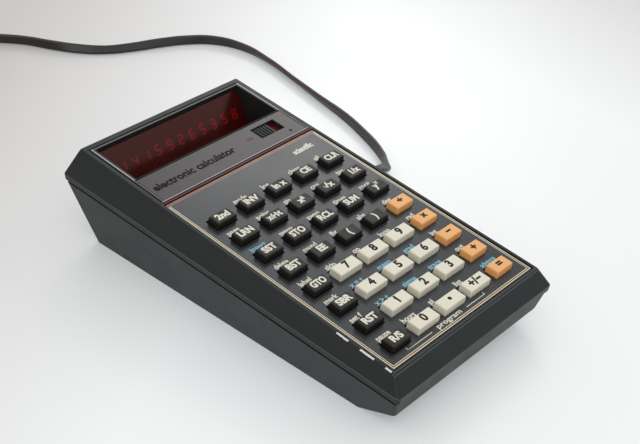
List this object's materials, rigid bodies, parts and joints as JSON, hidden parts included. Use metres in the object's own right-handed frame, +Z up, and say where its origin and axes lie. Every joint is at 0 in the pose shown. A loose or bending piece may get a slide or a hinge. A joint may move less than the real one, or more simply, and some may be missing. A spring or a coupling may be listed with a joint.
{
  "type": "pocket calculator",
  "caption": "Wedge-shaped pocket calculator with a keyboard of travelling keys, a red display window, an on-off slider, a battery pack that slides out, and a charger lead.",
  "frame": {"origin": "on the resting surface, under the middle of the calculator (its lead and adapter left out)", "axes": "+X to the right of the keyboard, +Y along the case towards the display end, +Z up from the resting face"},
  "size_m": [0.2129, 0.3162, 0.0359],
  "materials": {
    "upper_case": "fine satin moulded plastic, worn brighter along the rim",
    "lower_case": "fine textured moulded plastic",
    "keyboard_plate": "satin printed plate with a pale gold border line",
    "black_key": "moulded, pale legends",
    "cream_key": "moulded, dark legends",
    "orange_key": "moulded, dark legends",
    "dome_sheet": "snap domes on a sheet",
    "circuit_board": "solder-masked laminate",
    "chip": "moulded epoxy",
    "display_frame": "bright plated edge, dark well",
    "display_window": "polished dark red filter",
    "name_strip": "brushed warm grey foil",
    "switch_slider": "ridged",
    "led_display": "lensed red digits",
    "battery_tray": "fine textured moulded plastic",
    "battery_cells": "shrink sleeve",
    "contact_block": "plated leaf springs",
    "dc_jack": "moulded",
    "dc_plug": "soft moulded",
    "cord": "smooth flexible vinyl",
    "adapter": "textured moulded plastic"
  },
  "bodies": {
    "case": {"upper_case": "upper_case", "lower_case": "lower_case", "keyboard_plate": "keyboard_plate", "dome_sheet": "dome_sheet", "keyboard_board": "circuit_board", "main_board": "circuit_board", "processor_chip": "chip", "display_frame": "display_frame", "display_window": "display_window", "name_strip": "name_strip", "led_display": "led_display", "contact_block": "contact_block", "dc_jack": "dc_jack", "dc_plug": "dc_plug", "cord": "cord", "cord_coil": "cord", "adapter": "adapter"},
    "power_switch": {"switch_slider": "switch_slider"},
    "battery_pack": {"battery_tray": "battery_tray", "battery_cells": "battery_cells"},
    "key_r1c1": {"key_r1c1": "black_key"},
    "key_r1c2": {"key_r1c2": "black_key"},
    "key_r1c3": {"key_r1c3": "black_key"},
    "key_r1c4": {"key_r1c4": "black_key"},
    "key_r1c5": {"key_r1c5": "black_key"},
    "key_r2c1": {"key_r2c1": "black_key"},
    "key_r2c2": {"key_r2c2": "black_key"},
    "key_r2c3": {"key_r2c3": "black_key"},
    "key_r2c4": {"key_r2c4": "black_key"},
    "key_r2c5": {"key_r2c5": "black_key"},
    "key_r3c1": {"key_r3c1": "black_key"},
    "key_r3c2": {"key_r3c2": "black_key"},
    "key_r3c3": {"key_r3c3": "black_key"},
    "key_r3c4": {"key_r3c4": "black_key"},
    "key_r3c5": {"key_r3c5": "black_key"},
    "key_r4c1": {"key_r4c1": "black_key"},
    "key_r4c2": {"key_r4c2": "black_key"},
    "key_r4c3": {"key_r4c3": "black_key"},
    "key_r4c4": {"key_r4c4": "black_key"},
    "key_r4c5": {"key_r4c5": "orange_key"},
    "key_r5c1": {"key_r5c1": "black_key"},
    "key_r5c2": {"key_r5c2": "cream_key"},
    "key_r5c3": {"key_r5c3": "cream_key"},
    "key_r5c4": {"key_r5c4": "cream_key"},
    "key_r5c5": {"key_r5c5": "orange_key"},
    "key_r6c1": {"key_r6c1": "black_key"},
    "key_r6c2": {"key_r6c2": "cream_key"},
    "key_r6c3": {"key_r6c3": "cream_key"},
    "key_r6c4": {"key_r6c4": "cream_key"},
    "key_r6c5": {"key_r6c5": "orange_key"},
    "key_r7c1": {"key_r7c1": "black_key"},
    "key_r7c2": {"key_r7c2": "cream_key"},
    "key_r7c3": {"key_r7c3": "cream_key"},
    "key_r7c4": {"key_r7c4": "cream_key"},
    "key_r7c5": {"key_r7c5": "orange_key"},
    "key_r8c1": {"key_r8c1": "black_key"},
    "key_r8c2": {"key_r8c2": "cream_key"},
    "key_r8c3": {"key_r8c3": "cream_key"},
    "key_r8c4": {"key_r8c4": "cream_key"},
    "key_r8c5": {"key_r8c5": "orange_key"}
  },
  "joints": [
    {"name": "switch_slide", "type": "slide", "parent": "case", "child": "power_switch", "axis": [1, 0, 0], "range_m": [0, 0.0032]},
    {"name": "battery_slide", "type": "slide", "parent": "case", "child": "battery_pack", "axis": [0, 1, 0], "range_m": [0, 0.06]},
    {"name": "key_r1c1_press", "type": "slide", "parent": "case", "child": "key_r1c1", "axis": [0, 0.1021, -0.9948], "range_m": [0, 0.0012], "stiffness_N_per_m": 400},
    {"name": "key_r1c2_press", "type": "slide", "parent": "case", "child": "key_r1c2", "axis": [0, 0.1021, -0.9948], "range_m": [0, 0.0012], "stiffness_N_per_m": 400},
    {"name": "key_r1c3_press", "type": "slide", "parent": "case", "child": "key_r1c3", "axis": [0, 0.1021, -0.9948], "range_m": [0, 0.0012], "stiffness_N_per_m": 400},
    {"name": "key_r1c4_press", "type": "slide", "parent": "case", "child": "key_r1c4", "axis": [0, 0.1021, -0.9948], "range_m": [0, 0.0012], "stiffness_N_per_m": 400},
    {"name": "key_r1c5_press", "type": "slide", "parent": "case", "child": "key_r1c5", "axis": [0, 0.1021, -0.9948], "range_m": [0, 0.0012], "stiffness_N_per_m": 400},
    {"name": "key_r2c1_press", "type": "slide", "parent": "case", "child": "key_r2c1", "axis": [0, 0.1021, -0.9948], "range_m": [0, 0.0012], "stiffness_N_per_m": 400},
    {"name": "key_r2c2_press", "type": "slide", "parent": "case", "child": "key_r2c2", "axis": [0, 0.1021, -0.9948], "range_m": [0, 0.0012], "stiffness_N_per_m": 400},
    {"name": "key_r2c3_press", "type": "slide", "parent": "case", "child": "key_r2c3", "axis": [0, 0.1021, -0.9948], "range_m": [0, 0.0012], "stiffness_N_per_m": 400},
    {"name": "key_r2c4_press", "type": "slide", "parent": "case", "child": "key_r2c4", "axis": [0, 0.1021, -0.9948], "range_m": [0, 0.0012], "stiffness_N_per_m": 400},
    {"name": "key_r2c5_press", "type": "slide", "parent": "case", "child": "key_r2c5", "axis": [0, 0.1021, -0.9948], "range_m": [0, 0.0012], "stiffness_N_per_m": 400},
    {"name": "key_r3c1_press", "type": "slide", "parent": "case", "child": "key_r3c1", "axis": [0, 0.1021, -0.9948], "range_m": [0, 0.0012], "stiffness_N_per_m": 400},
    {"name": "key_r3c2_press", "type": "slide", "parent": "case", "child": "key_r3c2", "axis": [0, 0.1021, -0.9948], "range_m": [0, 0.0012], "stiffness_N_per_m": 400},
    {"name": "key_r3c3_press", "type": "slide", "parent": "case", "child": "key_r3c3", "axis": [0, 0.1021, -0.9948], "range_m": [0, 0.0012], "stiffness_N_per_m": 400},
    {"name": "key_r3c4_press", "type": "slide", "parent": "case", "child": "key_r3c4", "axis": [0, 0.1021, -0.9948], "range_m": [0, 0.0012], "stiffness_N_per_m": 400},
    {"name": "key_r3c5_press", "type": "slide", "parent": "case", "child": "key_r3c5", "axis": [0, 0.1021, -0.9948], "range_m": [0, 0.0012], "stiffness_N_per_m": 400},
    {"name": "key_r4c1_press", "type": "slide", "parent": "case", "child": "key_r4c1", "axis": [0, 0.1021, -0.9948], "range_m": [0, 0.0012], "stiffness_N_per_m": 400},
    {"name": "key_r4c2_press", "type": "slide", "parent": "case", "child": "key_r4c2", "axis": [0, 0.1021, -0.9948], "range_m": [0, 0.0012], "stiffness_N_per_m": 400},
    {"name": "key_r4c3_press", "type": "slide", "parent": "case", "child": "key_r4c3", "axis": [0, 0.1021, -0.9948], "range_m": [0, 0.0012], "stiffness_N_per_m": 400},
    {"name": "key_r4c4_press", "type": "slide", "parent": "case", "child": "key_r4c4", "axis": [0, 0.1021, -0.9948], "range_m": [0, 0.0012], "stiffness_N_per_m": 400},
    {"name": "key_r4c5_press", "type": "slide", "parent": "case", "child": "key_r4c5", "axis": [0, 0.1021, -0.9948], "range_m": [0, 0.0012], "stiffness_N_per_m": 400},
    {"name": "key_r5c1_press", "type": "slide", "parent": "case", "child": "key_r5c1", "axis": [0, 0.1021, -0.9948], "range_m": [0, 0.0012], "stiffness_N_per_m": 400},
    {"name": "key_r5c2_press", "type": "slide", "parent": "case", "child": "key_r5c2", "axis": [0, 0.1021, -0.9948], "range_m": [0, 0.0012], "stiffness_N_per_m": 400},
    {"name": "key_r5c3_press", "type": "slide", "parent": "case", "child": "key_r5c3", "axis": [0, 0.1021, -0.9948], "range_m": [0, 0.0012], "stiffness_N_per_m": 400},
    {"name": "key_r5c4_press", "type": "slide", "parent": "case", "child": "key_r5c4", "axis": [0, 0.1021, -0.9948], "range_m": [0, 0.0012], "stiffness_N_per_m": 400},
    {"name": "key_r5c5_press", "type": "slide", "parent": "case", "child": "key_r5c5", "axis": [0, 0.1021, -0.9948], "range_m": [0, 0.0012], "stiffness_N_per_m": 400},
    {"name": "key_r6c1_press", "type": "slide", "parent": "case", "child": "key_r6c1", "axis": [0, 0.1021, -0.9948], "range_m": [0, 0.0012], "stiffness_N_per_m": 400},
    {"name": "key_r6c2_press", "type": "slide", "parent": "case", "child": "key_r6c2", "axis": [0, 0.1021, -0.9948], "range_m": [0, 0.0012], "stiffness_N_per_m": 400},
    {"name": "key_r6c3_press", "type": "slide", "parent": "case", "child": "key_r6c3", "axis": [0, 0.1021, -0.9948], "range_m": [0, 0.0012], "stiffness_N_per_m": 400},
    {"name": "key_r6c4_press", "type": "slide", "parent": "case", "child": "key_r6c4", "axis": [0, 0.1021, -0.9948], "range_m": [0, 0.0012], "stiffness_N_per_m": 400},
    {"name": "key_r6c5_press", "type": "slide", "parent": "case", "child": "key_r6c5", "axis": [0, 0.1021, -0.9948], "range_m": [0, 0.0012], "stiffness_N_per_m": 400},
    {"name": "key_r7c1_press", "type": "slide", "parent": "case", "child": "key_r7c1", "axis": [0, 0.1021, -0.9948], "range_m": [0, 0.0012], "stiffness_N_per_m": 400},
    {"name": "key_r7c2_press", "type": "slide", "parent": "case", "child": "key_r7c2", "axis": [0, 0.1021, -0.9948], "range_m": [0, 0.0012], "stiffness_N_per_m": 400},
    {"name": "key_r7c3_press", "type": "slide", "parent": "case", "child": "key_r7c3", "axis": [0, 0.1021, -0.9948], "range_m": [0, 0.0012], "stiffness_N_per_m": 400},
    {"name": "key_r7c4_press", "type": "slide", "parent": "case", "child": "key_r7c4", "axis": [0, 0.1021, -0.9948], "range_m": [0, 0.0012], "stiffness_N_per_m": 400},
    {"name": "key_r7c5_press", "type": "slide", "parent": "case", "child": "key_r7c5", "axis": [0, 0.1021, -0.9948], "range_m": [0, 0.0012], "stiffness_N_per_m": 400},
    {"name": "key_r8c1_press", "type": "slide", "parent": "case", "child": "key_r8c1", "axis": [0, 0.1021, -0.9948], "range_m": [0, 0.0012], "stiffness_N_per_m": 400},
    {"name": "key_r8c2_press", "type": "slide", "parent": "case", "child": "key_r8c2", "axis": [0, 0.1021, -0.9948], "range_m": [0, 0.0012], "stiffness_N_per_m": 400},
    {"name": "key_r8c3_press", "type": "slide", "parent": "case", "child": "key_r8c3", "axis": [0, 0.1021, -0.9948], "range_m": [0, 0.0012], "stiffness_N_per_m": 400},
    {"name": "key_r8c4_press", "type": "slide", "parent": "case", "child": "key_r8c4", "axis": [0, 0.1021, -0.9948], "range_m": [0, 0.0012], "stiffness_N_per_m": 400},
    {"name": "key_r8c5_press", "type": "slide", "parent": "case", "child": "key_r8c5", "axis": [0, 0.1021, -0.9948], "range_m": [0, 0.0012], "stiffness_N_per_m": 400}
  ]
}
